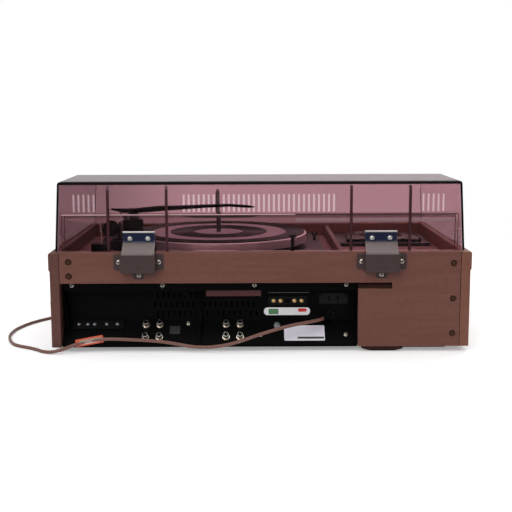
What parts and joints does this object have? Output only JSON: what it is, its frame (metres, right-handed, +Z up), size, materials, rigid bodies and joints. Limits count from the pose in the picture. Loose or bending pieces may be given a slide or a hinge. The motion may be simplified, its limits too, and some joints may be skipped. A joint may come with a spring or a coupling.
{
  "type": "stereo music centre",
  "caption": "Stereo music centre: wooden case with record changer and cassette deck under a hinged smoke-tinted cover, sloping control panel in front, recessed socket panel behind.",
  "frame": {"origin": "middle of the footprint, on the surface the feet stand on", "axes": "+Z up, +Y out of the back, +X to the user's right (the tonearm's side)"},
  "size_m": [0.6867, 0.422, 0.2434],
  "materials": {
    "walnut_vinyl": "brown wood-grain vinyl film, satin",
    "board": "raw particle board",
    "batten": "raw pine",
    "deck_board": "dark painted board",
    "foot_rubber": "matt black rubber",
    "screw_nickel": "nickel plate",
    "screw_brass": "brass plate",
    "panel_steel": "black semi-gloss enamel",
    "socket_plastic": "black moulded plastic",
    "phenolic": "brown phenolic strip",
    "hinge_brown": "dark brown enamel",
    "hinge_chrome": "plated steel",
    "smoke_acrylic": "smoke-tinted clear acrylic",
    "cord_brown": "brown vinyl cord",
    "tag_paper": "folded paper",
    "plug_brown": "moulded vinyl",
    "core_steel": "varnished steel laminations",
    "circuit": "green board with parts",
    "sink_black": "black anodised aluminium",
    "pot_steel": "zinc plate",
    "fascia_silver": "brushed champagne aluminium",
    "scale_black": "black scale plate",
    "dial_clear": "clear acrylic",
    "pointer_red": "red plastic",
    "drum_plastic": "ivory plastic",
    "knob_silver": "turned aluminium",
    "button_red": "red plastic",
    "button_ivory": "ivory plastic",
    "changer_black": "black crackle enamel",
    "platter_metal": "turned aluminium",
    "mat_rubber": "black ribbed rubber",
    "spindle_chrome": "polished steel",
    "motor_steel": "zinc plate",
    "idler_rubber": "rubber on a hub",
    "arm_black": "black moulded plastic",
    "arm_silver": "satin aluminium",
    "tape_black": "black moulded plastic",
    "lid_smoke": "dark gloss plastic",
    "key_silver": "silver plastic",
    "spindle_ivory": "white plastic"
  },
  "bodies": {
    "case": {"side_panel_left": "walnut_vinyl", "side_panel_right": "walnut_vinyl", "rear_board": "walnut_vinyl", "base_board": "board", "corner_battens": "batten", "feet": "foot_rubber", "case_screws": "screw_nickel", "front_rail": "walnut_vinyl", "top_deck": "deck_board", "divider_bar": "walnut_vinyl", "rear_panel": "panel_steel", "rca_jacks": "screw_nickel", "antenna_terminals": "phenolic", "speaker_terminals": "screw_brass", "ac_outlet": "socket_plastic", "hinge_housings": "hinge_brown", "cord_bushing": "socket_plastic", "power_cord": "cord_brown", "cord_coil": "cord_brown", "cord_tag": "tag_paper", "power_plug": "plug_brown", "transformer": "core_steel", "circuit_board": "circuit", "heat_sink": "sink_black", "control_pots": "pot_steel", "front_fascia": "fascia_silver", "dial_scale": "scale_black", "dial_glass": "dial_clear", "headphone_jack": "screw_nickel", "changer_plate": "changer_black", "changer_spindle": "spindle_chrome", "drive_motor": "motor_steel", "deck_posts": "arm_black", "cassette_well": "tape_black"},
    "cover": {"dust_cover": "smoke_acrylic", "hinge_straps": "hinge_chrome"},
    "pointer": {"dial_pointer": "pointer_red"},
    "dial_drum": {"tuning_drum": "drum_plastic"},
    "tuning": {"tuning_knob": "knob_silver"},
    "volume": {"volume_knob": "knob_silver"},
    "balance": {"balance_knob": "knob_silver"},
    "bass": {"bass_knob": "knob_silver"},
    "treble": {"treble_knob": "knob_silver"},
    "power_button": {"button_power": "button_red"},
    "phono_button": {"button_phono": "button_ivory"},
    "radio_button": {"button_radio": "button_ivory"},
    "tape_button": {"button_tape": "button_ivory"},
    "turntable": {"platter": "platter_metal", "platter_mat": "mat_rubber"},
    "idler": {"idler_wheel": "idler_rubber"},
    "gimbal": {"tonearm_gimbal": "arm_black"},
    "arm": {"tonearm": "arm_silver"},
    "steady_arm": {"overarm": "arm_black"},
    "start": {"start_lever": "arm_black"},
    "speed": {"speed_lever": "arm_black"},
    "lid": {"cassette_lid": "lid_smoke"},
    "play": {"key_play": "key_silver"},
    "stop": {"key_stop": "key_silver"},
    "reel_left": {"reel_spindle_left": "spindle_ivory"},
    "reel_right": {"reel_spindle_right": "spindle_ivory"}
  },
  "joints": [
    {"name": "cover_hinge", "type": "hinge", "parent": "case", "child": "cover", "pos_m": [0, 0.201, 0.1405], "axis": [-1, 0, 0], "range_deg": [0, 65]},
    {"name": "platter_spin", "type": "hinge", "parent": "case", "child": "turntable", "pos_m": [0.0645, 0.005, 0.14], "axis": [0, 0, -1], "continuous": true},
    {"name": "idler_spin", "type": "hinge", "parent": "case", "child": "idler", "pos_m": [-0.041, -0.0438, 0.14], "axis": [0, 0, -1], "continuous": true},
    {"name": "arm_turn", "type": "hinge", "parent": "case", "child": "gimbal", "pos_m": [0.219, 0.097, 0.15], "axis": [0, 0, -1], "range_deg": [0, 41]},
    {"name": "arm_lift", "type": "hinge", "parent": "gimbal", "child": "arm", "pos_m": [0.219, 0.097, 0.172], "axis": [-1, 0, 0], "range_deg": [0, 10]},
    {"name": "overarm_swing", "type": "hinge", "parent": "case", "child": "steady_arm", "pos_m": [0.187, 0.113, 0.15], "axis": [0, 0, -1], "range_deg": [0, 35]},
    {"name": "start_lever_turn", "type": "hinge", "parent": "case", "child": "start", "pos_m": [0.236, -0.112, 0.13], "axis": [0, 0, 1], "range_deg": [-18, 18], "stiffness_Nm_per_rad": 0.02},
    {"name": "speed_lever_turn", "type": "hinge", "parent": "case", "child": "speed", "pos_m": [0.236, -0.082, 0.13], "axis": [0, 0, 1], "range_deg": [-18, 18]},
    {"name": "tuning_turn", "type": "hinge", "parent": "case", "child": "tuning", "pos_m": [0.215, -0.18642, 0.07717], "axis": [0, 0.9495, -0.3139], "range_deg": [-900, 900]},
    {"name": "pointer_slide", "type": "slide", "parent": "case", "child": "pointer", "axis": [1, 0, 0], "range_m": [-0.0598, 0.0598]},
    {"name": "drum_turn", "type": "hinge", "parent": "case", "child": "dial_drum", "pos_m": [0.168, -0.18517, 0.08097], "axis": [0, 0.9495, -0.3139], "range_deg": [-90.2, 90.2]},
    {"name": "volume_turn", "type": "hinge", "parent": "case", "child": "volume", "pos_m": [-0.03, -0.19458, 0.05248], "axis": [0, 0.9495, -0.3139], "range_deg": [-150, 150]},
    {"name": "balance_turn", "type": "hinge", "parent": "case", "child": "balance", "pos_m": [0.02, -0.19458, 0.05248], "axis": [0, 0.9495, -0.3139], "range_deg": [-150, 150]},
    {"name": "bass_turn", "type": "hinge", "parent": "case", "child": "bass", "pos_m": [0.07, -0.19458, 0.05248], "axis": [0, 0.9495, -0.3139], "range_deg": [-150, 150]},
    {"name": "treble_turn", "type": "hinge", "parent": "case", "child": "treble", "pos_m": [0.12, -0.19458, 0.05248], "axis": [0, 0.9495, -0.3139], "range_deg": [-150, 150]},
    {"name": "power_press", "type": "slide", "parent": "case", "child": "power_button", "axis": [0, 0.9495, -0.3139], "range_m": [0, 0.004], "stiffness_N_per_m": 200, "springref_m": -0.001},
    {"name": "phono_press", "type": "slide", "parent": "case", "child": "phono_button", "axis": [0, 0.9495, -0.3139], "range_m": [0, 0.004], "stiffness_N_per_m": 200, "springref_m": -0.001},
    {"name": "radio_press", "type": "slide", "parent": "case", "child": "radio_button", "axis": [0, 0.9495, -0.3139], "range_m": [0, 0.004], "stiffness_N_per_m": 200, "springref_m": -0.001},
    {"name": "tape_press", "type": "slide", "parent": "case", "child": "tape_button", "axis": [0, 0.9495, -0.3139], "range_m": [0, 0.004], "stiffness_N_per_m": 200, "springref_m": -0.001},
    {"name": "lid_hinge", "type": "hinge", "parent": "case", "child": "lid", "pos_m": [-0.204, -0.025, 0.1321], "axis": [-1, 0, 0], "range_deg": [0, 60]},
    {"name": "play_press", "type": "slide", "parent": "case", "child": "play", "axis": [0, 0, -1], "range_m": [0, 0.004], "stiffness_N_per_m": 300, "springref_m": -0.001},
    {"name": "stop_press", "type": "slide", "parent": "case", "child": "stop", "axis": [0, 0, -1], "range_m": [0, 0.004], "stiffness_N_per_m": 300, "springref_m": -0.001},
    {"name": "reel_left_spin", "type": "hinge", "parent": "case", "child": "reel_left", "pos_m": [-0.22525, -0.063, 0.12], "axis": [0, 0, -1], "continuous": true},
    {"name": "reel_right_spin", "type": "hinge", "parent": "case", "child": "reel_right", "pos_m": [-0.18275, -0.063, 0.12], "axis": [0, 0, -1], "continuous": true}
  ],
  "couplings": [
    {"joint": "idler_spin", "follows": "platter_spin", "ratio": 6.825},
    {"joint": "pointer_slide", "follows": "tuning_turn", "m_per_rad": 0.0038},
    {"joint": "drum_turn", "follows": "tuning_turn", "ratio": 0.1}
  ]
}
